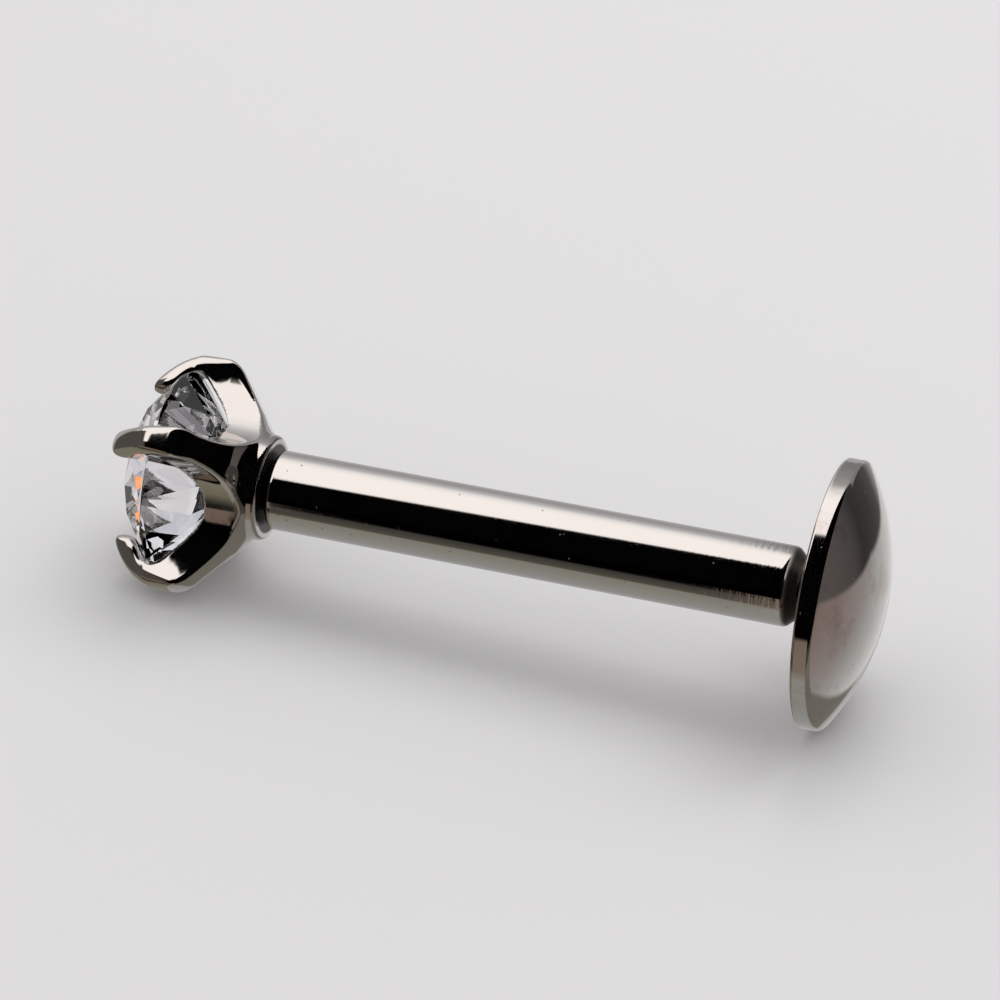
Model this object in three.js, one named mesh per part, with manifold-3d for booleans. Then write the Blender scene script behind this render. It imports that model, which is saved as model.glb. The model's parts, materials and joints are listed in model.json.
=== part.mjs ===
// Labret stud for a lip or ear piercing: a domed disc back, a hollow post pressed into it, and a screw-in top
// whose four claws hold a round brilliant stone.
// Millimetres. Each piece is turned about +Y, the stud's own axis, with y = 0 on the inner face of the disc and
// the stone at the far end. The finished stud is laid on its side along X, as it rests on a table.

import * as THREE from 'three';
import { ConvexGeometry } from 'three/addons/geometries/ConvexGeometry.js';
import { mergeVertices } from 'three/addons/utils/BufferGeometryUtils.js';
import Module from 'manifold-3d';

// Driving dimensions
const FIT_GAP = 0.02; // clearance where one piece sits in another
const FACE_START = 0.64; // radius from which the flat faces of disc and collar lie clear of the post
const TURN_STEPS = 64; // sides of a turned surface
const ARC_STEPS = 6; // steps along a curve of a turned outline

const DISC_RADIUS = 2;
const DISC_RIM = 0.265; // straight rim, before the outer side begins to dome
const DISC_DOME = 0.61; // height of the dome over the rim
const DISC_BEVEL = 0.03;
const SOCKET_DEPTH = 0.4;

const POST_RADIUS = 0.6; // 16 gauge, 1.2 mm
const POST_LENGTH = 8.14; // the full-width tube, chamfers included
const POST_START = 0.35; // bare neck between the disc and the tube
const NECK_RADIUS = 0.45;
const NECK_CHAMFER = 0.16;
const POST_CHAMFER = 0.05;
const BORE_RADIUS = 0.45;
const BORE_DEPTH = 2.7;

const TOP_GAP = 0.07; // the collar stops just short of the tube
const COLLAR_RADIUS = 0.8;
const COLLAR_BEVEL = 0.04;
const PIN_RADIUS = 0.41;
const PIN_LENGTH = 2.2;
const CUP_RADIUS = 1.82; // widest point, across the claws
const CUP_HEIGHT = 2.25; // collar face to claw tips
const FLUTE_FLOOR = 0.84; // how close the flutes between the claws come to the axis
const CLAW_COUNT = 4;
const CLAW_WIDTH = 0.5; // at the widest point
const TIP_WIDTH = 0.5; // over the crown of the stone
const TIP_REACH = 1.1; // radius at which the rounded tips end

const STONE_RADIUS = 1.5;
const TABLE_RADIUS = 0.86;
const CROWN_HEIGHT = 0.48;
const GIRDLE = 0.06;
const PAVILION_DEPTH = 1.27;
const GIRDLE_HEIGHT = 1.5; // underside of the girdle over the collar face

// Places along the stud's axis
const POST_END = POST_START + POST_LENGTH;
const COLLAR_Y = POST_END + TOP_GAP;
const WIDE_LOW = 1.15; // the cup is widest from here
const WIDE_HIGH = 1.5; // to here, over the collar face

// A flute is a cylinder beside the axis. It passes the flute floor and the side of the claw at its widest.
const CLAW_STEP = (2 * Math.PI) / CLAW_COUNT;
const FLUTE_HALF_ANGLE = CLAW_STEP / 2 - Math.asin(CLAW_WIDTH / 2 / CUP_RADIUS);
const FLUTE_OFFSET =
  (CUP_RADIUS ** 2 - FLUTE_FLOOR ** 2) / (2 * (CUP_RADIUS * Math.cos(FLUTE_HALF_ANGLE) - FLUTE_FLOOR));
const FLUTE_RADIUS = FLUTE_OFFSET - FLUTE_FLOOR;

// With a flute facing down, the stud lies on the rim of the disc and the girdle of the stone.
// The claws on each side of the flute stop it from rolling.
const REST_TILT = Math.atan2(DISC_RADIUS - STONE_RADIUS, COLLAR_Y + GIRDLE_HEIGHT + GIRDLE + DISC_RIM);

const steel = new THREE.MeshStandardMaterial({ color: 0xc9c7c3, roughness: 0.08, metalness: 1 });
const cubicZirconia = new THREE.MeshStandardMaterial({ color: 0xf2f3f7, roughness: 0.02, metalness: 0 });

const wasm = await Module();
wasm.setup();

// A surface turned about +Y from an outline of radius and height that starts and ends on the axis.
function turned(outline, steps = TURN_STEPS) {
  return new THREE.LatheGeometry(outline.getPoints(ARC_STEPS), steps);
}

// A closed geometry as a solid that can be joined and cut.
function solidOf(geometry) {
  geometry.deleteAttribute('normal');
  geometry.deleteAttribute('uv');
  const shared = mergeVertices(geometry);
  const vertProperties = shared.attributes.position.array;
  const triVerts = new Uint32Array(shared.index.array);
  return new wasm.Manifold(new wasm.Mesh({ numProp: 3, vertProperties, triVerts }));
}

function geometryOf(solid) {
  const { vertProperties, triVerts } = solid.getMesh();
  const geometry = new THREE.BufferGeometry();
  geometry.setAttribute('position', new THREE.BufferAttribute(vertProperties, 3));
  geometry.setIndex(new THREE.BufferAttribute(triVerts, 1));
  geometry.computeVertexNormals();
  return geometry;
}

function piece(name, geometry, material) {
  const mesh = new THREE.Mesh(geometry, material);
  mesh.name = name;
  return mesh;
}

// Flat inside, domed outside, with a blind socket for the post's neck.
function backDisc() {
  const domeRadius = (DISC_RADIUS ** 2 + DISC_DOME ** 2) / (2 * DISC_DOME);
  const domeCentre = domeRadius - DISC_RIM - DISC_DOME;
  const rimAngle = Math.atan2(-DISC_RIM - domeCentre, DISC_RADIUS);
  const socketRadius = NECK_RADIUS + FIT_GAP;

  const outline = new THREE.Path();
  outline.moveTo(0, -DISC_RIM - DISC_DOME);
  outline.absarc(0, domeCentre, domeRadius, -Math.PI / 2, rimAngle);
  outline.lineTo(DISC_RADIUS - DISC_BEVEL, 0);
  outline.lineTo(FACE_START, 0);
  outline.lineTo(socketRadius, 0);
  outline.lineTo(socketRadius, -SOCKET_DEPTH);
  outline.lineTo(0, -SOCKET_DEPTH);
  return piece('back_disc', turned(outline), steel);
}

// A tube with a turned-down neck at the disc and a bore for the top's pin at the other end.
function post() {
  const outline = new THREE.Path();
  outline.moveTo(0, FIT_GAP - SOCKET_DEPTH);
  outline.lineTo(NECK_RADIUS, FIT_GAP - SOCKET_DEPTH);
  outline.lineTo(NECK_RADIUS, POST_START);
  outline.lineTo(POST_RADIUS, POST_START + NECK_CHAMFER);
  outline.lineTo(POST_RADIUS, POST_END - POST_CHAMFER);
  outline.lineTo(POST_RADIUS - POST_CHAMFER, POST_END);
  outline.lineTo(BORE_RADIUS, POST_END);
  outline.lineTo(BORE_RADIUS, POST_END - BORE_DEPTH);
  outline.lineTo(0, POST_END - BORE_DEPTH);
  return piece('post', turned(outline), steel);
}

// The top before it is cut: pin, collar, flared cup and the dome of the claws, as one turned solid.
function topBlank() {
  const coneLow = { radius: 1.08, height: 0.38 };
  const coneHigh = { radius: 1.6, height: 0.8 };
  const outline = new THREE.Path();
  outline.moveTo(0, -PIN_LENGTH);
  outline.lineTo(PIN_RADIUS - COLLAR_BEVEL, -PIN_LENGTH);
  outline.lineTo(PIN_RADIUS, COLLAR_BEVEL - PIN_LENGTH);
  outline.lineTo(PIN_RADIUS, 0);
  outline.lineTo(FACE_START, 0);
  outline.lineTo(COLLAR_RADIUS - COLLAR_BEVEL, 0);
  outline.lineTo(COLLAR_RADIUS, COLLAR_BEVEL);
  outline.lineTo(COLLAR_RADIUS, 0.12);
  outline.quadraticCurveTo(COLLAR_RADIUS + 0.02, 0.23, coneLow.radius, coneLow.height);
  outline.lineTo(coneHigh.radius, coneHigh.height);
  outline.quadraticCurveTo(CUP_RADIUS, 0.96, CUP_RADIUS, WIDE_LOW);
  outline.lineTo(CUP_RADIUS, WIDE_HIGH);
  outline.bezierCurveTo(1.78, 1.8, 1.45, 2.15, TIP_REACH, CUP_HEIGHT);
  outline.lineTo(0, CUP_HEIGHT);
  return solidOf(turned(outline));
}

// The hollow of the cup: a cone under the stone, a groove for its girdle, and clearance over its crown.
function stoneSeat() {
  const above = CUP_HEIGHT + 1;
  const grooveRadius = STONE_RADIUS + 0.03;
  const crownSlope = CROWN_HEIGHT / (STONE_RADIUS - TABLE_RADIUS);
  const crownLow = GIRDLE_HEIGHT + GIRDLE + FIT_GAP;
  const outline = new THREE.Path();
  outline.moveTo(0, 0.15);
  outline.lineTo(0.2, 0.15);
  outline.lineTo(1.45, GIRDLE_HEIGHT - 0.12);
  outline.lineTo(grooveRadius, GIRDLE_HEIGHT - FIT_GAP);
  outline.lineTo(grooveRadius, crownLow);
  outline.lineTo(1, crownLow + (grooveRadius - 1) * crownSlope);
  outline.lineTo(1, above);
  outline.lineTo(0, above);
  return solidOf(turned(outline));
}

// A round-ended bar across the axis, which gives two opposite claw tips their outline from above.
function tipBar(angle) {
  const half = TIP_WIDTH / 2;
  const outer = CUP_RADIUS + half;
  const inner = TIP_REACH + half;
  const outline = new THREE.Shape();
  outline.moveTo(inner, -half);
  outline.lineTo(outer, -half);
  outline.lineTo(outer, half);
  outline.lineTo(inner, half);
  outline.absarc(inner, 0, half, Math.PI / 2, 1.5 * Math.PI);
  const bar = new THREE.ExtrudeGeometry(outline, { depth: 1, bevelEnabled: false, curveSegments: ARC_STEPS });
  bar.rotateX(-Math.PI / 2);
  bar.translate(0, GIRDLE_HEIGHT, 0);
  bar.rotateY(angle);
  return solidOf(bar);
}

function flute(angle) {
  const cylinder = new THREE.CylinderGeometry(FLUTE_RADIUS, FLUTE_RADIUS, 2 * CUP_HEIGHT, TURN_STEPS);
  cylinder.translate(FLUTE_OFFSET, CUP_HEIGHT, 0);
  cylinder.rotateY(angle);
  return solidOf(cylinder);
}

// Everything over the girdle that is not a claw tip.
function crownOpening() {
  const height = CUP_HEIGHT - GIRDLE_HEIGHT + 0.1;
  const disc = new THREE.CylinderGeometry(CUP_RADIUS + 0.1, CUP_RADIUS + 0.1, height, TURN_STEPS);
  disc.translate(0, GIRDLE_HEIGHT + GIRDLE + height / 2, 0);
  let opening = solidOf(disc);
  for (let claw = 0; claw < CLAW_COUNT; claw++) {
    opening = opening.subtract(tipBar((claw + 0.5) * CLAW_STEP));
  }
  return opening;
}

// Pin, collar, cup and claws are one casting.
function clawSetting() {
  let casting = topBlank().subtract(stoneSeat()).subtract(crownOpening());
  for (let gap = 0; gap < CLAW_COUNT; gap++) {
    casting = casting.subtract(flute(gap * CLAW_STEP));
  }
  return piece('claw_setting', geometryOf(casting), steel);
}

// Round brilliant cut: the facets follow from rings of corners round the axis. A flat of the girdle faces down.
function brilliantStone() {
  const mainTurn = Math.PI / 4;
  const girdleTurn = mainTurn / 4;
  const crownBase = GIRDLE_HEIGHT + GIRDLE;
  const starRadius = 1.13;
  const starInset = starRadius * Math.cos(mainTurn / 2);
  const starHeight = crownBase + (CROWN_HEIGHT * (STONE_RADIUS - starInset)) / (STONE_RADIUS - TABLE_RADIUS);
  const lowerRadius = 0.42;
  const lowerInset = lowerRadius * Math.cos(mainTurn / 2);
  const lowerHeight = GIRDLE_HEIGHT - (PAVILION_DEPTH * (STONE_RADIUS - lowerInset)) / STONE_RADIUS;
  const rings = [
    { corners: 8, start: 0, radius: TABLE_RADIUS, height: crownBase + CROWN_HEIGHT },
    { corners: 8, start: mainTurn / 2, radius: starRadius, height: starHeight },
    { corners: 16, start: 0, radius: STONE_RADIUS, height: crownBase },
    { corners: 16, start: 0, radius: STONE_RADIUS, height: GIRDLE_HEIGHT },
    { corners: 8, start: mainTurn / 2, radius: lowerRadius, height: lowerHeight },
  ];
  const corners = [new THREE.Vector3(0, GIRDLE_HEIGHT - PAVILION_DEPTH, 0)];
  for (const ring of rings) {
    for (let i = 0; i < ring.corners; i++) {
      const angle = girdleTurn + ring.start + (i * 2 * Math.PI) / ring.corners;
      corners.push(new THREE.Vector3().setFromCylindricalCoords(ring.radius, angle, ring.height));
    }
  }
  return piece('stone', new ConvexGeometry(corners), cubicZirconia);
}

const top = new THREE.Group();
top.add(clawSetting(), brilliantStone());
top.position.y = COLLAR_Y;

const stud = new THREE.Group();
stud.add(backDisc(), post(), top);
stud.rotation.set(0, -REST_TILT, Math.PI / 2);

// Centred over the origin, on the table.
const reach = new THREE.Box3().setFromObject(stud, true);
const middle = reach.getCenter(new THREE.Vector3());
stud.position.set(-middle.x, -middle.y, -reach.min.z);

const group = new THREE.Group();
group.add(stud);

export default group;
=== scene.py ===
import json
import math
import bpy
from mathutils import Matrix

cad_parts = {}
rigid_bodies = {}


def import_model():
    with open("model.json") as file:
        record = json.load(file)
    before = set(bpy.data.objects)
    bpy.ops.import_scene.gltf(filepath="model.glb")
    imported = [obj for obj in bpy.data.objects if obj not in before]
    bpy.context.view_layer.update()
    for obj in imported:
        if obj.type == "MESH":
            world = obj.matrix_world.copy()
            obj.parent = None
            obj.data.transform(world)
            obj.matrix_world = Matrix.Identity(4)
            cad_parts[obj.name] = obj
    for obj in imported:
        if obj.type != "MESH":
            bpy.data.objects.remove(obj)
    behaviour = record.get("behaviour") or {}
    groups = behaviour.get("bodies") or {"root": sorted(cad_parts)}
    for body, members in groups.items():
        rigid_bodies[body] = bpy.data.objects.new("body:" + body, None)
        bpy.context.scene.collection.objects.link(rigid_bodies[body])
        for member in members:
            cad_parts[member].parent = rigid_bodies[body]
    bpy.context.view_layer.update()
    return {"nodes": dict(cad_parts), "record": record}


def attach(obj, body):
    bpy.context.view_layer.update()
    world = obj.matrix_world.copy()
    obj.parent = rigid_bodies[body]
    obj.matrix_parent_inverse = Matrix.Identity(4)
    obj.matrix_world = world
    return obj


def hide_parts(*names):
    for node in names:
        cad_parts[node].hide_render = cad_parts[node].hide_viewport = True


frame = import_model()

from types import SimpleNamespace

import bmesh
import bpy
import numpy as np
from bpy.props import FloatProperty, FloatVectorProperty, PointerProperty
from mathutils import Matrix, Vector
from mathutils.geometry import interpolate_bezier

bl_info = {
    "name": "Labret stud",
    "version": (1, 0, 0),
    "blender": (4, 5, 0),
    "location": "3D View > Sidebar > Labret stud",
    "description": "Builds a labret stud with a domed disc back, a hollow post and a claw-set stone on top",
    "category": "Add Mesh",
}

MM = 0.001
FULL_TURN = 2 * math.pi
CLAWS = 4
CLAW_ANGLE = FULL_TURN / CLAWS

# Finish shared by the materials: depths in millimetres, the dark colour of dirt in pits and of painted shade,
# and the colour of handling stains
PIT_DEPTH = 0.005
SCRATCH_DEPTH = 0.0004
DIRT_AND_SHADE = (0.03, 0.027, 0.024, 1)
STAIN = (0.4, 0.3, 0.27, 1)

# The stud is modelled in millimetres about its own axis: Z runs from the disc's inner face to the stone,
# X points to the front and Y up. PLACE lays it on its side in the part's frame.
mounts = {mount["name"]: mount for mount in frame["record"]["mounts"]}
AXIS = Vector(mounts["disc_inner_face"]["axis"]).normalized()
FRONT = Vector((0, -1, 0))
UP = AXIS.cross(FRONT)
post_points = frame["nodes"]["post"].data.vertices
POST_MIDDLE = sum((point.co for point in post_points), Vector()) / len(post_points)


def on_axis(mount):
    """The point of the stud's axis that is level with a mount."""
    return POST_MIDDLE + AXIS * (Vector(mount["pos_m"]) - POST_MIDDLE).dot(AXIS)


FACE_CENTRE = on_axis(mounts["disc_inner_face"])
COLLAR = (on_axis(mounts["collar_back_face"]) - FACE_CENTRE).length / MM
TURNED = Matrix((FRONT, UP, AXIS)).transposed()
PLACE = Matrix.Translation(FACE_CENTRE) @ TURNED.to_4x4() @ Matrix.Scale(MM, 4)


def length(name, description, millimetres):
    return FloatProperty(
        name=name, description=description, default=millimetres * MM, min=0, unit="LENGTH", precision=5
    )


def colour(name, description, rgb):
    return FloatVectorProperty(name=name, description=description, default=rgb, min=0, max=1, subtype="COLOR")


class StudSizes(bpy.types.PropertyGroup):
    """Sizes of the stud."""

    disc_radius: length("Disc radius", "Half the width of the disc", 2)
    disc_rim: length("Disc rim", "Thickness of the disc at its rim", 0.265)
    disc_dome: length("Disc dome", "Height of the dome over the rim", 0.61)
    socket_depth: length("Socket depth", "Depth of the disc's hole for the neck of the post", 0.4)
    post_radius: length("Post radius", "Half the width of the post", 0.6)
    post_start: length("Post start", "Bare neck between the disc and the tube", 0.35)
    neck_chamfer: length("Neck chamfer", "Length of the slope from the neck to the tube", 0.16)
    post_end: length("Post end", "Open end of the tube, from the disc's inner face", 8.49)
    neck_radius: length("Neck radius", "Half the width of the turned-down neck", 0.45)
    bore_radius: length("Bore radius", "Half the width of the hole for the pin", 0.45)
    bore_depth: length("Bore depth", "Depth of the hole for the pin", 2.7)
    pin_radius: length("Pin radius", "Half the width over the crests of the thread", 0.43)
    pin_root: length("Thread root", "Radius at the bottom of the thread", 0.345)
    pin_length: length("Pin length", "Length of the threaded pin", 2.2)
    thread_pitch: length("Thread pitch", "Rise of the thread in one turn", 0.225)
    collar_radius: length("Collar radius", "Half the width of the collar", 0.8)
    cup_radius: length("Cup radius", "Widest radius, across the claws", 1.82)
    cup_height: length("Cup height", "Collar face to claw tips", 2.25)
    flute_floor: length("Flute floor", "How close the flutes between the claws come to the axis", 0.84)
    claw_width: length("Claw width", "Width of a claw at the widest part of the cup", 0.5)
    tip_width: length("Tip width", "Width of a claw over the stone", 0.5)
    tip_reach: length("Tip reach", "Radius at which the claw tips end", 1.1)
    claw_rounding: length("Claw rounding", "Edge radius of the half-round claws", 0.19)
    claw_lean: length("Claw lean", "How far the tips of the claws lean to one side", 0.1)
    skin_grain: length("Skin grain", "Mesh size of the casting's surface", 0.02)
    stone_radius: length("Stone radius", "Half the width of the stone", 1.5)
    table_radius: length("Table radius", "Corner radius of the stone's table", 0.86)
    crown_height: length("Crown height", "Girdle to table", 0.48)
    girdle: length("Girdle", "Thickness of the girdle", 0.06)
    girdle_height: length("Girdle height", "Underside of the girdle over the collar face", 1.5)
    pavilion_depth: length("Pavilion depth", "Girdle to culet", 1.27)


class StudColours(bpy.types.PropertyGroup):
    """Colours of the stud and of the surface that it lies on."""

    steel: colour("Steel", "Polished surgical steel", (0.66, 0.645, 0.625))
    cast_steel: colour("Cast steel", "Polished cast steel of the top", (0.65, 0.632, 0.61))
    stone: colour("Stone", "Body colour of the clear stone", (0.985, 0.985, 1.0))
    floor: colour("Floor", "Pale surface under the stud", (0.76, 0.75, 0.755))


def sizes():
    """The sizes in millimetres."""
    group = bpy.context.scene.stud_sizes
    return SimpleNamespace(**{key: getattr(group, key) / MM for key in StudSizes.__annotations__})


def colours():
    return bpy.context.scene.stud_colours


def crown_slope(s):
    """Rise of the stone's crown for each millimetre towards the axis."""
    return s.crown_height / (s.stone_radius - s.table_radius)


# Shapes


def curve(start, first, second, end, steps=16):
    """Points of a curve from start to end with two handles, in radius and height."""
    corners = [Vector((*corner, 0)) for corner in (start, first, second, end)]
    return [point.xy for point in interpolate_bezier(*corners, steps)]


def bend(start, corner, end, steps=12):
    """Points of a curve from start to end that leans towards one corner."""
    start, corner, end = Vector(start), Vector(corner), Vector(end)
    return curve(start, start.lerp(corner, 2 / 3), end.lerp(corner, 2 / 3), end, steps)


def turned(outline, steps=128):
    """A closed body turned about Z from an outline of radius and height that starts and ends on the axis."""
    bm = bmesh.new()
    points = [bm.verts.new((radius, 0, height)) for radius, height in outline]
    lines = [bm.edges.new(pair) for pair in zip(points, points[1:])]
    bmesh.ops.spin(
        bm, geom=points + lines, cent=(0, 0, 0), axis=(0, 0, 1), angle=FULL_TURN, steps=steps, use_merge=True
    )
    bmesh.ops.remove_doubles(bm, verts=bm.verts, dist=1e-4)
    bmesh.ops.recalc_face_normals(bm, faces=bm.faces)
    return bm


def soften(bm, rings, segments=3):
    """Rounds the edges that run round a turned body. Each ring is a radius, a height and a width."""
    for radius, height, width in rings:
        loop = [
            edge
            for edge in bm.edges
            if all(abs(v.co.z - height) < 1e-4 and abs(v.co.xy.length - radius) < 1e-3 for v in edge.verts)
        ]
        bmesh.ops.bevel(
            bm, geom=loop, offset=width, segments=segments, profile=0.5, affect="EDGES", material=-1
        )


def cylinder(radius, low, high, segments=192):
    bm = bmesh.new()
    lift = Matrix.Translation((0, 0, (low + high) / 2))
    bmesh.ops.create_cone(
        bm, cap_ends=True, segments=segments, radius1=radius, radius2=radius, depth=high - low, matrix=lift
    )
    return bm


def moved(bm, matrix):
    bmesh.ops.transform(bm, matrix=matrix, verts=bm.verts)
    return bm


def carved(blank, cutters, grain=None):
    """The blank with the cutters taken out of it. With a grain, its surface becomes one even skin."""
    scene_objects = bpy.context.scene.collection.objects
    loose = []
    for bm in [blank, *cutters]:
        mesh = bpy.data.meshes.new("cut")
        bm.to_mesh(mesh)
        bm.free()
        loose.append(bpy.data.objects.new("cut", mesh))
        scene_objects.link(loose[-1])
    body, *tools = loose
    for tool in tools:
        cut = body.modifiers.new("cut", "BOOLEAN")
        cut.operation = "DIFFERENCE"
        cut.solver = "EXACT"
        cut.object = tool
    if grain:
        skin = body.modifiers.new("skin", "REMESH")
        skin.mode = "VOXEL"
        skin.voxel_size = grain
    made = body.evaluated_get(bpy.context.evaluated_depsgraph_get())
    result = bmesh.new()
    result.from_mesh(made.to_mesh())
    made.to_mesh_clear()
    for part in loose:
        mesh = part.data
        bpy.data.objects.remove(part)
        bpy.data.meshes.remove(mesh)
    return result


def settle(bm, passes, amount=0.5, where=None):
    """Evens out a skin, which rounds its edges."""
    verts = [v for v in bm.verts if where is None or where(v.co)]
    every_way = {"use_axis_x": True, "use_axis_y": True, "use_axis_z": True}
    for _ in range(passes):
        bmesh.ops.smooth_vert(bm, verts=verts, factor=amount, **every_way)


def add_piece(bm, name, body, node, material, crease=None):
    """Lays a body in the part's frame as a piece that rides on a body and stands for a node."""
    bmesh.ops.recalc_face_normals(bm, faces=bm.faces)
    moved(bm, PLACE)
    for face in bm.faces:
        face.smooth = True
    if crease:
        for edge in bm.edges:
            edge.smooth = edge.calc_face_angle(0) < crease
    mesh = bpy.data.meshes.new(name)
    bm.to_mesh(mesh)
    bm.free()
    mesh.materials.append(material)
    piece = bpy.data.objects.new(name, mesh)
    bpy.context.scene.collection.objects.link(piece)
    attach(piece, body)
    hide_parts(node)
    return piece


def even_shading(piece):
    """Lets the flat faces of a turned piece keep their own direction beside its rounded edges."""
    weighted = piece.modifiers.new("even_shading", "WEIGHTED_NORMAL")
    weighted.keep_sharp = True
    weighted.weight = 80


# Materials


class Field:
    """A shader value. Expressions on it add Math nodes."""

    def __init__(self, shader, socket):
        self.shader = shader
        self.socket = socket

    def maths(self, operation, *values):
        return self.shader.node("ShaderNodeMath", {"operation": operation}, dict(enumerate(values)))[0]

    def size(self):
        return self.maths("ABSOLUTE", self)

    def larger(self, other):
        return self.maths("MAXIMUM", self, other)

    def __add__(self, other):
        return self.maths("ADD", self, other)

    def __radd__(self, other):
        return self.maths("ADD", other, self)

    def __sub__(self, other):
        return self.maths("SUBTRACT", self, other)

    def __rsub__(self, other):
        return self.maths("SUBTRACT", other, self)

    def __mul__(self, other):
        return self.maths("MULTIPLY", self, other)

    def __rmul__(self, other):
        return self.maths("MULTIPLY", other, self)

    def __lt__(self, other):
        return self.maths("LESS_THAN", self, other)


class Shader:
    """The nodes of one material or world."""

    def __init__(self, owner):
        owner.use_nodes = True
        self.tree = owner.node_tree
        self.tree.nodes.clear()

    def node(self, kind, settings=None, values=None):
        """Adds a node: its settings first, then the values or links of its sockets. Returns its outputs."""
        made = self.tree.nodes.new(kind)
        for name, setting in (settings or {}).items():
            if name == "stops":
                self.set_stops(made.color_ramp, setting)
            else:
                setattr(made, name, setting)
        for name, value in (values or {}).items():
            socket = made.inputs[name]
            if isinstance(value, Field):
                self.tree.links.new(value.socket, socket)
            else:
                socket.default_value = value
        return Outputs(self, made)

    @staticmethod
    def set_stops(ramp, stops):
        while len(ramp.elements) < len(stops):
            ramp.elements.new(1)
        for element, (place, tone) in zip(ramp.elements, stops):
            element.position = place
            element.color = tone

    def noise(self, where, scale, detail=2, roughness=0.5, distortion=0):
        """Noise from 0 to 1."""
        values = {
            "Vector": where,
            "Scale": scale,
            "Detail": detail,
            "Roughness": roughness,
            "Distortion": distortion,
        }
        return self.node("ShaderNodeTexNoise", {"normalize": True}, values)["Fac"]

    def spread(self, field, low, high, to_low=0.0, to_high=1.0):
        """The field from low to high, stretched to another range and held there."""
        values = {"Value": field, "From Min": low, "From Max": high, "To Min": to_low, "To Max": to_high}
        return self.node("ShaderNodeMapRange", {"interpolation_type": "SMOOTHSTEP"}, values)["Result"]

    def pits(self, where, scale, share):
        """Small round pits in a share of the cells of a pattern."""
        floor, rim = 0.04, 0.1
        cells = self.node("ShaderNodeTexVoronoi", {}, {"Vector": where, "Scale": scale, "Randomness": 1.0})
        chosen = self.node("ShaderNodeSeparateColor", {}, {0: cells["Color"]})["Red"] < share
        return self.spread(cells["Distance"], floor, rim, 1, 0) * chosen

    def mix(self, mask, first, second):
        """Two colours mixed by a mask."""
        values = {"Factor": mask, 6: first, 7: second}
        return self.node("ShaderNodeMix", {"data_type": "RGBA"}, values)[2]

    def ramp(self, field, stops):
        """A colour that follows a field from stop to stop."""
        stops = [(place, (*tone, 1)) for place, tone in stops]
        return self.node("ShaderNodeValToRGB", {"stops": stops}, {"Fac": field})["Color"]

    def dot(self, where, direction):
        """How far a vector goes in a direction."""
        values = {0: where, 1: direction}
        return self.node("ShaderNodeVectorMath", {"operation": "DOT_PRODUCT"}, values)["Value"]

    def edge(self, field, softness=0.012):
        """A soft step from 0 to 1 where the field passes 0."""
        return self.spread(field, -softness, softness)

    def stretched(self, where, scale):
        """A place scaled along each axis, which squeezes a pattern on it."""
        return self.node("ShaderNodeVectorMath", {"operation": "MULTIPLY"}, {0: where, 1: scale})["Vector"]


class Outputs:
    """The output sockets of a node, as fields."""

    def __init__(self, shader, made):
        self.shader = shader
        self.made = made

    def __getitem__(self, name):
        return Field(self.shader, self.made.outputs[name])


def stud_place(shader):
    """Object coordinates in the stud's own frame, in millimetres: front, up and along the axis."""
    where = shader.node("ShaderNodeTexCoord")["Object"]
    turn = TURNED.transposed()
    values = {
        "Vector": where,
        "Location": -(turn @ FACE_CENTRE) / MM,
        "Rotation": turn.to_euler(),
        "Scale": (1 / MM, 1 / MM, 1 / MM),
    }
    return shader.node("ShaderNodeMapping", {"vector_type": "POINT"}, values)["Vector"]


def finish_material(shader, bump_height, bump_strength, **values):
    """A Principled shader with a bump of a real height in millimetres."""
    bump = shader.node(
        "ShaderNodeBump", {}, {"Height": bump_height, "Distance": MM, "Strength": bump_strength}
    )["Normal"]
    sockets = {name.replace("_", " "): value for name, value in values.items()}
    surface = shader.node("ShaderNodeBsdfPrincipled", {}, {"Normal": bump, **sockets})["BSDF"]
    shader.node("ShaderNodeOutputMaterial", {}, {"Surface": surface})


def scratches(shader, where, direction, scale, amount):
    """Fine straight scratches that run along one direction of the stud."""
    lines = shader.noise(shader.stretched(where, direction), scale, 3, 0.6)
    return shader.spread(lines, 1 - amount, 1)


def gap_shade(shader, where, level):
    """A painted dark line of shade in the gap between the tube and the collar."""
    full_reach, reach = 0.035, 0.05
    inner_radius, outer_radius = 0.66, 0.7
    # Painted shade: strongest at the middle of the gap, fading within a twentieth of a millimetre
    away = (level - (sizes().post_end + COLLAR) / 2).size()
    flat = shader.stretched(where, (1, 1, 0))
    radius = shader.node("ShaderNodeVectorMath", {"operation": "LENGTH"}, {0: flat})["Value"]
    inside = shader.spread(radius, inner_radius, outer_radius, 1, 0)
    return shader.spread(away, full_reach, reach, 1, 0) * inside


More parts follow.
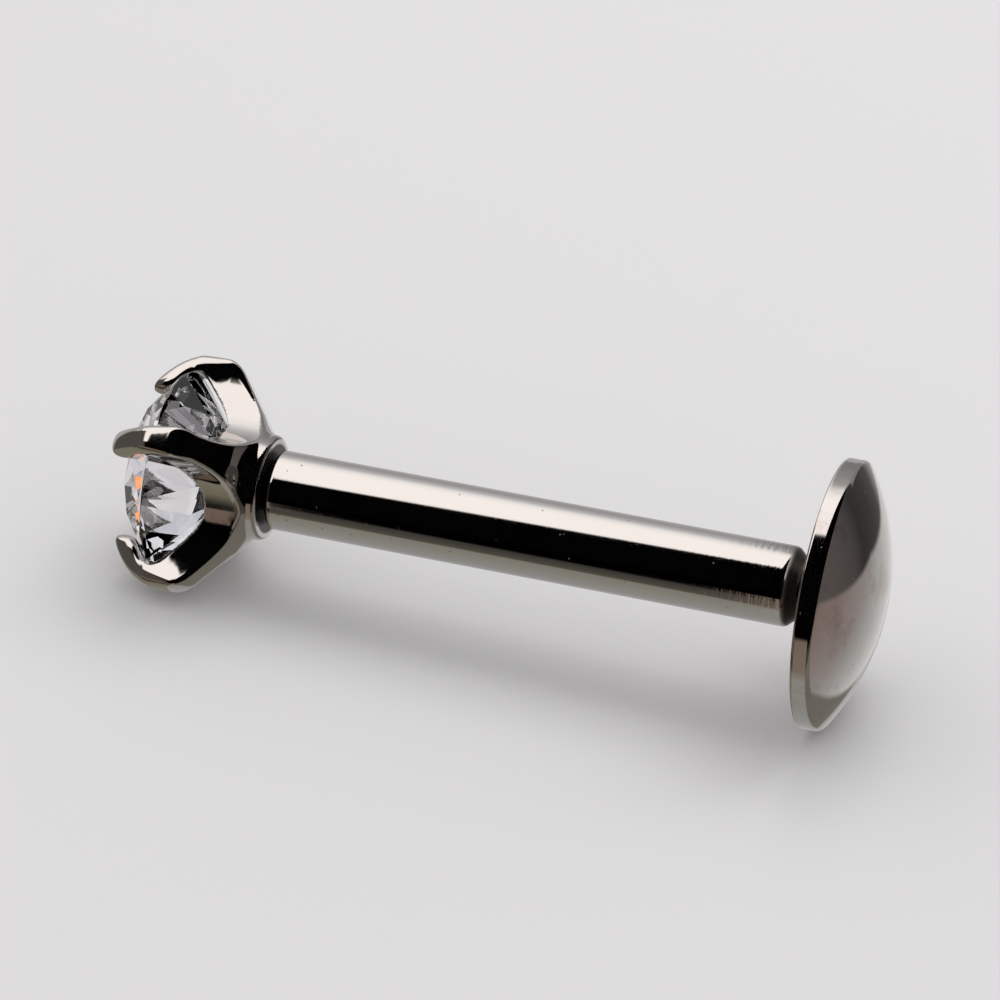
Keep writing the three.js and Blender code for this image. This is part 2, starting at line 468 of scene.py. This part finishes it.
def turned_steel(name, chatter=0.0, stains=0.0, corner_shade=0.0):
    """Mirror-polished steel with turning lines, pits and hairline scratches.

    The post also has chatter marks and painted shade in the corner beside the disc, and the disc has stains."""
    line_depth = 0.00003
    corner_start, corner_end = 0.46, 0.56
    chatter_start, chatter_end = 0.6, 3.2
    material = bpy.data.materials.new(name)
    shader = Shader(material)
    where = stud_place(shader)
    level = shader.node("ShaderNodeSeparateXYZ", {}, {0: where})["Z"]
    lines = shader.noise(shader.stretched(where, (0.6, 0.6, 60.0)), scale=1, detail=3, roughness=0.6)
    marks = shader.noise(shader.stretched(where, (3.0, 3.0, 14.0)), scale=1, detail=3, roughness=0.65)
    worn = shader.noise(where, scale=2.2, detail=4, roughness=0.6)
    hair = scratches(shader, where, (9.0, 1.2, 4.0), scale=6, amount=0.38)
    pit = shader.pits(where, scale=7.0, share=0.1)
    # Painted shade: a dark ring on the neck chamfer, in the corner beside the disc
    corner = shader.spread(level, corner_start, corner_end, corner_shade, 0)
    # Painted shade in the gap at the collar and in the corner beside the disc
    painted_shade = gap_shade(shader, where, level).larger(corner)
    tone = shader.mix(worn, (*Vector(colours().steel) * 0.96, 1), (*colours().steel, 1))
    blotches = shader.noise(where, scale=1.3, detail=5, roughness=0.65)
    tone = shader.mix(shader.spread(blotches, 0.5, 0.75, 0, stains), tone, STAIN)
    # Pits take the dark colour as dirt; the painted shade darkens the gap and the corner with it
    tone = shader.mix((pit * 0.8).larger(painted_shade * 0.95), tone, DIRT_AND_SHADE)
    rough_turned = shader.spread(level, chatter_start, chatter_end, chatter, 0)
    height = lines * line_depth + marks * rough_turned - pit * PIT_DEPTH - hair * SCRATCH_DEPTH
    roughness = 0.02 + lines * 0.03 + worn * 0.03 + hair * 0.06 + pit * 0.3 + painted_shade * 0.3
    finish_material(shader, height, 1.0, Base_Color=tone, Metallic=1.0, Roughness=roughness)
    return material


def cast_steel(name):
    """Polished cast steel: a soft tumbled surface with a few pinholes."""
    skin_depth = 0.0013
    material = bpy.data.materials.new(name)
    shader = Shader(material)
    where = stud_place(shader)
    level = shader.node("ShaderNodeSeparateXYZ", {}, {0: where})["Z"]
    skin = shader.noise(where, scale=3.0, detail=2, roughness=0.5)
    hair = scratches(shader, where, (2.0, 7.0, 3.0), scale=5, amount=0.36)
    pit = shader.pits(where, scale=4.0, share=0.08)
    # Painted shade in the gap between the tube and the collar
    painted_shade = gap_shade(shader, where, level)
    tone = shader.mix(skin, (*Vector(colours().cast_steel) * 0.95, 1), (*colours().cast_steel, 1))
    # Pits take the dark colour as dirt; the painted shade darkens the collar gap with it
    tone = shader.mix((pit * 0.7).larger(painted_shade * 0.95), tone, DIRT_AND_SHADE)
    height = skin * skin_depth - pit * PIT_DEPTH - hair * SCRATCH_DEPTH
    roughness = 0.04 + skin * 0.03 + hair * 0.05 + pit * 0.3 + painted_shade * 0.3
    finish_material(shader, height, 1.0, Base_Color=tone, Metallic=1.0, Roughness=roughness)
    return material


def clear_stone(name):
    """Clear cut stone with a trace of handling on its facets."""
    material = bpy.data.materials.new(name)
    shader = Shader(material)
    where = stud_place(shader)
    refraction = 2.16
    smear_depth = 0.0004
    smear = shader.noise(where, scale=1.6, detail=3, roughness=0.6)
    tone = shader.mix(smear, (*colours().stone, 1), (0.97, 0.97, 0.99, 1))
    roughness = shader.spread(smear, 0.5, 0.9, 0.0, 0.02)
    values = {"Base_Color": tone, "Roughness": roughness, "IOR": refraction, "Transmission_Weight": 1.0}
    finish_material(shader, smear * smear_depth, 1.0, **values)
    return material


# Pieces


def dome_outline(s, steps=28):
    """The dome of the disc, from the axis to the rim."""
    dome_radius = (s.disc_radius**2 + s.disc_dome**2) / (2 * s.disc_dome)
    centre = dome_radius - s.disc_rim - s.disc_dome
    half_angle = math.asin(s.disc_radius / dome_radius)
    angles = [half_angle * step / steps for step in range(steps + 1)]
    return [(dome_radius * math.sin(angle), centre - dome_radius * math.cos(angle)) for angle in angles]


class STUD_OT_disc(bpy.types.Operator):
    """Adds the disc back: flat inside, domed outside"""

    bl_idname = "stud.disc"
    bl_label = "Disc back"

    def execute(self, context):
        s = sizes()
        socket_fit = 0.012
        crease_width = 0.045
        edge_width = 0.03
        mouth_width = 0.01
        # How far the outline's extra points stand from the edges, so that the flats beside them shade flat
        beside_crease = 0.06
        beside_edge = 0.045
        beside_mouth = 0.04
        socket = s.neck_radius + socket_fit
        outline = [
            *dome_outline(s),
            (s.disc_radius, beside_crease - s.disc_rim),
            (s.disc_radius, -beside_edge),
            (s.disc_radius, 0),
            (s.disc_radius - beside_crease, 0),
            (socket + beside_mouth, 0),
            (socket, 0),
            (socket, -s.socket_depth),
            (0, -s.socket_depth),
        ]
        bm = turned(outline, 192)
        rings = [
            (s.disc_radius, -s.disc_rim, crease_width),
            (s.disc_radius, 0, edge_width),
            (socket, 0, mouth_width),
        ]
        soften(bm, rings, 4)
        material = turned_steel("disc_steel", stains=0.65)
        piece = add_piece(bm, "disc_back", "labret", "back_disc", material)
        even_shading(piece)
        return {"FINISHED"}


class STUD_OT_post(bpy.types.Operator):
    """Adds the hollow post, with its turned-down neck at the disc"""

    bl_idname = "stud.post"
    bl_label = "Post"

    def execute(self, context):
        s = sizes()
        bevel = 0.05
        socket_gap = 0.02
        neck_low = socket_gap - s.socket_depth
        neck_end = s.post_start + s.neck_chamfer
        tube_end = s.post_end - bevel
        bore_end = s.post_end - s.bore_depth
        # Two extra points beside the ends of the tube let its long side shade flat
        outline = [
            (0, neck_low),
            (s.neck_radius, neck_low),
            (s.neck_radius, s.post_start),
            (s.post_radius, neck_end),
            (s.post_radius, neck_end + 0.08),
            (s.post_radius, tube_end - 0.05),
            (s.post_radius, tube_end),
            (s.post_radius - bevel, s.post_end),
            (s.bore_radius, s.post_end),
            (s.bore_radius, bore_end),
            (0, bore_end),
        ]
        bm = turned(outline, 128)
        rings = [
            (s.neck_radius, s.post_start, 0.03),
            (s.post_radius, neck_end, 0.05),
            (s.post_radius, tube_end, 0.02),
            (s.post_radius - bevel, s.post_end, 0.015),
            (s.bore_radius, s.post_end, 0.02),
        ]
        soften(bm, rings, 4)
        # The post gets full painted shade in the corner beside the disc
        material = turned_steel("post_steel", chatter=0.0006, corner_shade=1.0)
        piece = add_piece(bm, "post_tube", "labret", "post", material)
        even_shading(piece)
        return {"FINISHED"}


def flute_circle(s):
    """Distance from the axis and radius of the cylinder that cuts a flute."""
    half_angle = math.pi / CLAWS - math.asin(s.claw_width / 2 / s.cup_radius)
    claw_reach = s.cup_radius * math.cos(half_angle)
    offset = (s.cup_radius**2 - s.flute_floor**2) / (2 * (claw_reach - s.flute_floor))
    return offset, offset - s.flute_floor


def cup_outline(s):
    """The outside of the collar, the cup and the claws, in radius and height over the collar face."""
    bevel = 0.04
    collar_top = (s.collar_radius, 0.12)
    hollow = (s.collar_radius + 0.02, 0.23)
    cone_low = (1.08, 0.38)
    cone_high = (1.6, 0.8)
    shoulder = (s.cup_radius, 0.96)
    wide_low = (s.cup_radius, 1.15)
    wide_high = (s.cup_radius, s.girdle_height)
    tip = (s.tip_reach, s.cup_height)
    return [
        (s.collar_radius - bevel, 0),
        (s.collar_radius, bevel),
        *bend(collar_top, hollow, cone_low),
        *bend(cone_high, shoulder, wide_low),
        *curve(wide_high, (1.78, 1.8), (1.45, 2.15), tip, 24),
    ]


def round_ended_bar(half_width, near, far, low, high, steps=24):
    """A bar along X with a half-round near end."""
    bm = bmesh.new()
    arc = [math.pi * (0.5 + step / steps) for step in range(steps + 1)]
    centre = near + half_width
    outline = [(centre + half_width * math.cos(angle), half_width * math.sin(angle)) for angle in arc]
    outline += [(far, -half_width), (far, half_width)]
    base = bm.faces.new([bm.verts.new((x, y, low)) for x, y in outline])
    raised = bmesh.ops.extrude_face_region(bm, geom=[base])["geom"]
    top = [part for part in raised if isinstance(part, bmesh.types.BMVert)]
    bmesh.ops.translate(bm, verts=top, vec=(0, 0, high - low))
    bmesh.ops.recalc_face_normals(bm, faces=bm.faces)
    return bm


def outside_depth(radius, height, s):
    """How deep points lie under the outside of the cup, and the way inwards, in radius and height."""
    outline = np.array([tuple(point) for point in cup_outline(s)])[1:]
    meridian = np.stack([radius, height], 1)
    starts, spans = outline[:-1], np.diff(outline, axis=0)
    along = ((meridian[:, None] - starts) * spans).sum(2) / (spans**2).sum(1)
    feet = starts + np.clip(along, 0, 1)[..., None] * spans
    gaps = np.linalg.norm(meridian[:, None] - feet, axis=2)
    nearest = gaps.argmin(1)
    depth = gaps[np.arange(len(radius)), nearest]
    tangent = spans[nearest] / np.linalg.norm(spans[nearest], axis=1)[:, None]
    return depth, np.stack([-tangent[:, 1], tangent[:, 0]], 1)


def claw_side(radius, height, forward, sideways, s):
    """How far points lie from the side of their claw, and the way from it to the claw's middle line.

    The side is a flute's wall, and over the girdle the edge of the tip."""
    least_reach = 0.75
    tiny = 1e-6
    offset, flute = flute_circle(s)
    reach = np.maximum(radius, least_reach)
    cosine = np.clip((offset**2 + reach**2 - flute**2) / (2 * offset * reach), -1, 1)
    half_width = radius * np.sin(CLAW_ANGLE / 2 - np.arccos(cosine))
    tip_half = s.tip_width / 2
    behind = np.minimum(forward - (s.tip_reach + tip_half), 0)
    from_spine = np.hypot(behind, sideways)
    over_girdle = height > s.girdle_height - 0.02
    side = half_width - np.abs(sideways)
    side = np.where(over_girdle, np.minimum(side, tip_half - from_spine), side)
    pull_forward = np.where(over_girdle, -behind, 0) / np.maximum(from_spine, tiny)
    pull_side = -sideways / np.maximum(np.where(over_girdle, from_spine, np.abs(sideways)), tiny)
    return np.maximum(side, 0), pull_forward, pull_side


def round_claws(bm, s):
    """Rounds the long edges of the claws, from a fine edge at the foot of a flute to a half-round claw."""
    heights = [0.3, 1.0, 1.5]
    edge_radii = [0.03, 0.07, s.claw_rounding]
    collar_top = 0.25
    points = np.array([v.co for v in bm.verts])
    height = points[:, 2]
    radius = np.hypot(points[:, 0], points[:, 1])
    angle = np.arctan2(points[:, 1], points[:, 0])
    claw = (np.floor(angle / CLAW_ANGLE) + 0.5) * CLAW_ANGLE
    forward = radius * np.cos(angle - claw)
    sideways = radius * np.sin(angle - claw)
    depth, inward = outside_depth(radius, height, s)
    side, pull_forward, pull_side = claw_side(radius, height, forward, sideways, s)

    # Points outside the rounding move straight to it
    rounding = np.interp(height, heights, edge_radii)
    to_side, to_outside = rounding - side, rounding - depth
    from_centre = np.hypot(to_side, to_outside)
    corner = (to_side > 0) & (to_outside > 0) & (from_centre > rounding) & (height > collar_top)
    share = np.where(corner, 1 - rounding / np.maximum(from_centre, 1e-9), 0)
    step_side, step_in = share * to_side, share * to_outside
    forward = forward + step_side * pull_forward
    sideways = sideways + step_side * pull_side
    x = forward * np.cos(claw) - sideways * np.sin(claw)
    y = forward * np.sin(claw) + sideways * np.cos(claw)
    grown = 1 + step_in * inward[:, 0] / np.maximum(radius, 1e-6)
    z = height + step_in * inward[:, 1]
    for vert, place in zip(bm.verts, np.stack([x * grown, y * grown, z], 1)):
        vert.co = place


def seat_hollow(s, high):
    """The hollow under and over the stone: a cone, a groove for the girdle, and room over the crown."""
    clearance = 0.02
    floor_radius = 0.2
    floor_height = 0.15
    mouth_radius = 1
    groove = s.stone_radius + 0.03
    crown_low = s.girdle_height + s.girdle + clearance
    outline = [
        (0, floor_height),
        (floor_radius, floor_height),
        (1.45, s.girdle_height - 0.12),
        (groove, s.girdle_height - clearance),
        (groove, crown_low),
        (mouth_radius, crown_low + (groove - mouth_radius) * crown_slope(s)),
        (mouth_radius, high),
        (0, high),
    ]
    return turned(outline, 192)


def flute_cutters(s, high):
    """The cylinders that part the claws."""
    offset, radius = flute_circle(s)
    turns = [Matrix.Rotation(claw * CLAW_ANGLE, 4, "Z") for claw in range(CLAWS)]
    return [moved(cylinder(radius, -1, high), turn @ Matrix.Translation((offset, 0, 0))) for turn in turns]


def crown_opening(s, high):
    """The room over the girdle, from which only the four tips are left standing."""
    tips = []
    for claw in range(CLAWS):
        far, low = s.cup_radius + 0.5, s.girdle_height - 0.1
        bar = round_ended_bar(s.tip_width / 2, s.tip_reach, far, low, high + 0.1)
        tips.append(moved(bar, Matrix.Rotation((claw + 0.5) * CLAW_ANGLE, 4, "Z")))
    return carved(cylinder(s.cup_radius + 0.1, s.girdle_height + s.girdle, high + 0.05, 96), tips)


def lean_claws(bm, s):
    """Leans the claws to one side, more and more towards their tips."""
    upright = 1
    for vert in bm.verts:
        share = min(max((vert.co.z - upright) / (s.cup_height - upright), 0), 1)
        vert.co = Matrix.Rotation(-s.claw_lean / s.cup_radius * share**1.5, 3, "Z") @ vert.co


class STUD_OT_setting(bpy.types.Operator):
    """Adds the cast top: collar, flared cup and four claws"""

    bl_idname = "stud.setting"
    bl_label = "Claw setting"

    def execute(self, context):
        s = sizes()
        high = s.cup_height + 1
        blank = turned([(0, 0), *cup_outline(s), (0, s.cup_height)], 192)
        cutters = [seat_hollow(s, high), crown_opening(s, high), *flute_cutters(s, high)]
        bm = carved(blank, cutters, s.skin_grain)
        settle(bm, passes=3)
        round_claws(bm, s)
        settle(bm, passes=8)
        settle(bm, passes=50, where=lambda place: place.z > s.girdle_height + 0.1)
        lean_claws(bm, s)
        moved(bm, Matrix.Translation((0, 0, COLLAR)))
        material = cast_steel("setting_steel")
        add_piece(bm, "setting_casting", "top", "claw_setting", material)
        return {"FINISHED"}


class STUD_OT_pin(bpy.types.Operator):
    """Adds the threaded pin of the top"""

    bl_idname = "stud.pin"
    bl_label = "Threaded pin"

    def execute(self, context):
        s = sizes()
        steps = 48
        turns = math.ceil(s.pin_length / s.thread_pitch) + 3
        flank = (s.pin_radius - s.pin_root) * math.tan(math.radians(30))
        crest = s.thread_pitch / 2 - flank
        low = -s.pin_length - s.thread_pitch
        bm = bmesh.new()
        tooth = [
            (s.pin_root, low),
            (s.pin_radius, low + flank),
            (s.pin_radius, low + flank + crest),
            (s.pin_root, low + 2 * flank + crest),
            (s.pin_root, low + s.thread_pitch),
        ]
        points = [bm.verts.new((radius, 0, height)) for radius, height in tooth]
        lines = [bm.edges.new(pair) for pair in zip(points, points[1:])]
        screw = {"axis": (0, 0, 1), "dvec": (0, 0, s.thread_pitch / steps), "angle": FULL_TURN * turns}
        bmesh.ops.spin(bm, geom=points + lines, cent=(0, 0, 0), steps=steps * turns, **screw)
        bmesh.ops.remove_doubles(bm, verts=bm.verts, dist=1e-4)
        inside_collar = 0.05
        for height, outwards in ((-s.pin_length, -1), (inside_collar, 1)):
            found = bm.verts[:] + bm.edges[:] + bm.faces[:]
            plane = {"plane_co": (0, 0, height), "plane_no": (0, 0, outwards), "clear_outer": True}
            cut = bmesh.ops.bisect_plane(bm, geom=found, dist=1e-5, **plane)["geom_cut"]
            edges = [part for part in cut if isinstance(part, bmesh.types.BMEdge)]
            bmesh.ops.contextual_create(bm, geom=edges)
        # The end of the pin is chamfered
        end_radius = s.pin_root - 0.03
        for vert in bm.verts:
            widest = end_radius + (vert.co.z + s.pin_length)
            wide = vert.co.xy.length
            if wide > widest:
                vert.co.xy *= widest / wide
        moved(bm, Matrix.Translation((0, 0, COLLAR)))
        material = turned_steel("pin_steel")
        add_piece(bm, "pin_thread", "top", "claw_setting", material, math.radians(28))
        return {"FINISHED"}


def cut_facet(bm, corners):
    """Cuts a body flat along the plane through three corners. The side of the stone's middle stays."""
    middle = Vector((0, 0, COLLAR + 1.4))
    first, second, third = (Vector(corner) for corner in corners)
    normal = (second - first).cross(third - first).normalized()
    if normal.dot(first - middle) < 0:
        normal.negate()
    found = bm.verts[:] + bm.edges[:] + bm.faces[:]
    cut = bmesh.ops.bisect_plane(
        bm, geom=found, dist=1e-5, plane_co=first, plane_no=normal, clear_outer=True
    )["geom_cut"]
    edges = [part for part in cut if isinstance(part, bmesh.types.BMEdge)]
    if edges:
        bmesh.ops.contextual_create(bm, geom=edges)


class STUD_OT_stone(bpy.types.Operator):
    """Adds the round brilliant stone"""

    bl_idname = "stud.stone"
    bl_label = "Brilliant stone"

    def execute(self, context):
        s = sizes()
        facets = 8
        step = FULL_TURN / facets
        start = step / 4
        top = COLLAR + s.girdle_height + s.girdle
        low = COLLAR + s.girdle_height
        star_radius, lower_radius = 1.13, 0.42
        inset = math.cos(step / 2)
        star_height = top + crown_slope(s) * (s.stone_radius - star_radius * inset)
        lower_height = low - s.pavilion_depth * (1 - lower_radius * inset / s.stone_radius)
        culet = (0, 0, low - s.pavilion_depth)

        def corner(radius, turn, height):
            angle = start + turn * step
            return (radius * math.cos(angle), radius * math.sin(angle), height)

        bm = cylinder(s.stone_radius, low - s.pavilion_depth - 0.1, top + s.crown_height, 96)
        for facet in range(facets):
            for half in (-0.5, 0.5):
                # Lower and upper halves, which meet the girdle
                girdle = corner(s.stone_radius, facet, low), corner(s.stone_radius, facet + half, low)
                cut_facet(bm, (*girdle, corner(lower_radius, facet + half, lower_height)))
                girdle = corner(s.stone_radius, facet, top), corner(s.stone_radius, facet + half, top)
                cut_facet(bm, (*girdle, corner(star_radius, facet + half, star_height)))
            sides = [corner(lower_radius, facet + half, lower_height) for half in (-0.5, 0.5)]
            cut_facet(bm, (culet, *sides))
            table = [corner(s.table_radius, facet + turn, top + s.crown_height) for turn in (0, 1)]
            sides = [corner(star_radius, facet + half, star_height) for half in (-0.5, 0.5)]
            cut_facet(bm, (table[0], *sides))
            cut_facet(bm, (*table, sides[1]))
        material = clear_stone("cut_stone")
        add_piece(bm, "brilliant_stone", "top", "stone", material, math.radians(5))
        return {"FINISHED"}


# Stage


def room_directions(shader):
    """Where a ray goes: along the axis to the stone, to the front, up, and its turn round the stud."""
    direction = shader.node("ShaderNodeTexCoord")["Generated"]
    ray = SimpleNamespace(direction=direction)
    ray.along = shader.dot(direction, AXIS)
    ray.front = shader.dot(direction, FRONT)
    ray.up = shader.dot(direction, UP)
    # In half turns: 0 in front, 0.5 above, 1 behind, and from -1 behind under the stud back to 0
    ray.turn = ray.up.maths("ARCTAN2", ray.up, ray.front) * (1 / math.pi)
    # Steps that part what the disc, the post and the cup mirror, as the camera of this script sees them
    ray.at_disc = shader.edge(0.2025 - ray.along, 0.003)
    ray.past_post = shader.edge(ray.along - 0.3025, 0.003)
    return ray


def surface_tones(shader, ray):
    """The pale surface under the stud, up to the front, where the dark side of the room begins."""
    far = [
        (0, (0.5, 0.49, 0.5)),
        (0.17, (0.51, 0.51, 0.5)),
        (0.39, (0.38, 0.38, 0.375)),
        (0.55, (0.35, 0.345, 0.32)),
    ]
    beside = [
        *far,
        (0.745, (0.3, 0.285, 0.24)),
        (0.77, (0.11, 0.1, 0.08)),
        (0.875, (0.06, 0.058, 0.052)),
        (0.905, (0, 0, 0)),
    ]
    under_disc = [
        *far,
        (0.71, (0.36, 0.35, 0.33)),
        (0.77, (0.27, 0.21, 0.17)),
        (0.925, (0.25, 0.19, 0.15)),
        (0.945, (0, 0, 0)),
    ]
    under_stone = [
        (0, (0.5, 0.49, 0.48)),
        (0.17, (0.45, 0.44, 0.42)),
        (0.3, (0.26, 0.235, 0.2)),
        (0.61, (0.25, 0.235, 0.175)),
        (0.71, (0.21, 0.185, 0.135)),
        (0.76, (0.09, 0.083, 0.065)),
        (0.8, (0.014, 0.014, 0.012)),
        (0.83, (0.014, 0.014, 0.012)),
        (0.84, (0.235, 0.165, 0.13)),
        (0.94, (0.22, 0.16, 0.13)),
        (0.955, (0, 0, 0)),
    ]
    # From behind (0) to the front (1)
    place = ray.turn + 1
    near_disc = shader.edge(ray.along + 0.12, 0.03) * ray.at_disc
    tones = shader.mix(near_disc, shader.ramp(place, beside), shader.ramp(place, under_disc))
    return shader.mix(ray.past_post, tones, shader.ramp(place, under_stone))


def dark_side_tones(shader, ray):
    """The dark side of the room, a little lighter towards the stone's end."""
    return shader.ramp(ray.along, [(0.46, (0, 0, 0)), (0.56, (0.09, 0.08, 0.072)), (1, (0.11, 0.098, 0.09))])


def add_room_behind_disc(shader, ray, studio):
    """Behind the disc the surface runs out to a dim wall."""
    place = ray.along * 0.5 + 0.5
    surface = shader.ramp(place, [
        (0, (0.25, 0.19, 0.17)),
        (0.05, (0.29, 0.23, 0.21)),
        (0.15, (0.36, 0.325, 0.31)),
        (0.25, (0.49, 0.485, 0.475)),
        (0.35, (0.63, 0.62, 0.61)),
        (0.5, (0.78, 0.775, 0.77)),
        (0.55, (0.92, 0.91, 0.91)),
    ])
    wall = shader.ramp(place, [
        (0, (0.13, 0.11, 0.105)),
        (0.1, (0.09, 0.08, 0.078)),
        (0.15, (0.045, 0.042, 0.042)),
        (0.25, (0.062, 0.06, 0.056)),
        (0.35, (0.1, 0.095, 0.09)),
        (0.47, (0.46, 0.45, 0.45)),
    ])
    horizon = 0.94 * ray.up - 0.342 * ray.front + 0.3 * (-0.6 - ray.along).larger(0.0)
    behind = shader.edge(-0.616 * ray.front - 0.788 * ray.up)
    back = shader.edge(0.65 * ray.up - 0.56 * ray.along - 0.52 * ray.front - 0.085, 0.015)
    back = back * behind * ray.at_disc
    olive = behind * shader.edge(-0.15 - ray.along, 0.05)
    studio = shader.mix(olive, studio, (0.2, 0.185, 0.16, 1))
    return shader.mix(back, studio, shader.mix(shader.edge(horizon, 0.02), surface, wall))


def add_softbox_over_stud(shader, ray, studio):
    """A softbox over the stud, which fades out behind it."""
    over_post = shader.ramp(ray.turn, [
        (0.64, (1.41, 1.32, 1.28)),
        (0.72, (1.2, 1.16, 1.15)),
        (0.795, (0.69, 0.675, 0.68)),
        (0.89, (0.43, 0.42, 0.43)),
        (1, (0.44, 0.42, 0.42)),
    ])
    over_disc = shader.ramp(ray.turn, [
        (0.64, (1.41, 1.32, 1.28)),
        (0.7, (1.1, 1.05, 1.04)),
        (0.745, (0.5, 0.48, 0.48)),
        (0.81, (0.36, 0.35, 0.35)),
        (0.92, (0.27, 0.26, 0.26)),
    ])
    softbox = shader.mix(ray.at_disc, over_post, over_disc)
    in_front = shader.edge(ray.along - ray.past_post * 0.045 - 0.431 * ray.front - 0.115 * ray.up)
    lit = in_front.larger(shader.edge(ray.along - 0.7325 * ray.front - 0.13 * ray.up))
    lit = lit * shader.edge(ray.up)
    lit = lit * shader.edge(0.6 - ray.along + (0 - ray.front).larger(0.0), 0.05)
    return shader.mix(lit * shader.edge(ray.turn - 0.265), studio, softbox)


def mirrored_studio(shader, ray):
    """The room that polished steel mirrors. Its tones are set direction by direction for this stud."""
    dark_side = shader.edge(ray.turn + 0.05)
    studio = shader.mix(dark_side, surface_tones(shader, ray), dark_side_tones(shader, ray))
    studio = add_room_behind_disc(shader, ray, studio)
    studio = add_softbox_over_stud(shader, ray, studio)
    # Past the stone's end the room is dim
    return shader.mix(shader.edge(ray.along - 0.82, 0.04), studio, (0.1, 0.09, 0.083, 1))


def room_through_stone(shader, ray):
    """What the stone shows of the room: pale, with one dark side and one warm accent."""
    pale = shader.ramp(ray.up * 0.5 + 0.5, [
        (0, (0.4, 0.39, 0.43)),
        (0.35, (0.58, 0.57, 0.625)),
        (0.6, (0.72, 0.712, 0.765)),
        (0.9, (1.0, 0.99, 1.0)),
    ])
    dark = shader.edge(0.9 * ray.front + 0.35 * ray.along - 0.87, 0.05)
    room = shader.mix(dark, pale, (0.1, 0.095, 0.11, 1))
    accent = Vector((-0.6, 0.1, 0.79)).normalized()
    warm = shader.edge(shader.dot(ray.direction, accent) - 0.985, 0.006)
    return shader.mix(warm, room, (1.5, 0.55, 0.18, 1))


class STUD_OT_stage(bpy.types.Operator):
    """Adds the floor, the studio light and the camera"""

    bl_idname = "stud.stage"
    bl_label = "Stage"

    def execute(self, context):
        self.add_floor()
        self.light_studio()
        self.add_softbox()
        self.add_camera()
        context.scene.view_settings.view_transform = "Standard"
        return {"FINISHED"}

    def add_floor(self):
        bm = bmesh.new()
        bmesh.ops.create_grid(bm, x_segments=1, y_segments=1, size=2)
        mesh = bpy.data.meshes.new("floor")
        bm.to_mesh(mesh)
        bm.free()
        material = bpy.data.materials.new("pale_floor")
        shader = Shader(material)
        tone = shader.node(
            "ShaderNodeBsdfPrincipled", {}, {"Base Color": (*colours().floor, 1), "Roughness": 0.7}
        )["BSDF"]
        shader.node("ShaderNodeOutputMaterial", {}, {"Surface": tone})
        mesh.materials.append(material)
        floor = bpy.data.objects.new("floor", mesh)
        floor.location.z = -0.02 * MM
        floor.visible_glossy = False
        bpy.context.scene.collection.objects.link(floor)

    def light_studio(self):
        """The world: plain grey for diffuse rays, a mirrored studio for steel, a paler room in the stone."""
        world = bpy.data.worlds.new("studio")
        bpy.context.scene.world = world
        shader = Shader(world)
        ray = room_directions(shader)
        through = room_through_stone(shader, ray)
        kind = shader.node("ShaderNodeLightPath")
        tone = shader.mix(kind["Is Glossy Ray"], (0.75, 0.745, 0.75, 1), mirrored_studio(shader, ray))
        tone = shader.mix(kind["Is Transmission Ray"], tone, through)
        # Any ray that has been through the stone sees mostly the paler room
        tone = shader.mix(shader.edge(kind["Transmission Depth"] - 0.5) * 0.6, tone, through)
        light = shader.node("ShaderNodeBackground", {}, {"Color": tone, "Strength": 1.0})["Background"]
        shader.node("ShaderNodeOutputWorld", {}, {"Surface": light})

    def add_softbox(self):
        """A soft lamp over the stud, which the steel doesn't mirror and the stone doesn't show."""
        lamp = bpy.data.lights.new("softbox", "AREA")
        lamp.shape = "RECTANGLE"
        lamp.size = 0.12
        lamp.size_y = 0.08
        lamp.energy = 0.06
        softbox = bpy.data.objects.new("softbox", lamp)
        softbox.location = (0.02, 0.06, 0.12)
        softbox.rotation_euler = (-softbox.location).to_track_quat("-Z", "Y").to_euler()
        softbox.visible_glossy = False
        softbox.visible_transmission = False
        bpy.context.scene.collection.objects.link(softbox)

    def add_camera(self):
        azimuth, elevation, roll = (math.radians(angle) for angle in (15.66, 30.64, -4.88))
        distance = 73.713 * MM
        aim = Vector((-0.067, 0.114, 2.207)) * MM
        level = math.cos(elevation)
        back = Vector((math.sin(azimuth) * level, -math.cos(azimuth) * level, math.sin(elevation)))
        lens = bpy.data.cameras.new("camera")
        lens.sensor_width = 36
        lens.lens = 180
        lens.clip_start = 0.001
        lens.clip_end = 10
        camera = bpy.data.objects.new("camera", lens)
        turn = (-back).to_track_quat("-Z", "Y").to_matrix().to_4x4()
        place = Matrix.Translation(aim + back * distance) @ turn
        camera.matrix_world = place @ Matrix.Rotation(-roll, 4, "Z")
        bpy.context.scene.collection.objects.link(camera)
        bpy.context.scene.camera = camera


class STUD_PT_panel(bpy.types.Panel):
    """Lists the pieces of the stud"""

    bl_label = "Labret stud"
    bl_idname = "STUD_PT_panel"
    bl_space_type = "VIEW_3D"
    bl_region_type = "UI"
    bl_category = "Labret stud"

    def draw(self, context):
        for operator in OPERATORS:
            self.layout.operator(operator.bl_idname)
        for group in (context.scene.stud_sizes, context.scene.stud_colours):
            for key in type(group).__annotations__:
                self.layout.prop(group, key)


OPERATORS = (STUD_OT_disc, STUD_OT_post, STUD_OT_setting, STUD_OT_pin, STUD_OT_stone, STUD_OT_stage)
CLASSES = (StudSizes, StudColours, *OPERATORS, STUD_PT_panel)


def register():
    for cls in CLASSES:
        bpy.utils.register_class(cls)
    bpy.types.Scene.stud_sizes = PointerProperty(type=StudSizes)
    bpy.types.Scene.stud_colours = PointerProperty(type=StudColours)


def unregister():
    del bpy.types.Scene.stud_colours
    del bpy.types.Scene.stud_sizes
    for cls in reversed(CLASSES):
        bpy.utils.unregister_class(cls)


def main():
    register()
    bpy.ops.stud.disc()
    bpy.ops.stud.post()
    bpy.ops.stud.setting()
    bpy.ops.stud.pin()
    bpy.ops.stud.stone()
    bpy.ops.stud.stage()


if __name__ == "__main__":
    main()
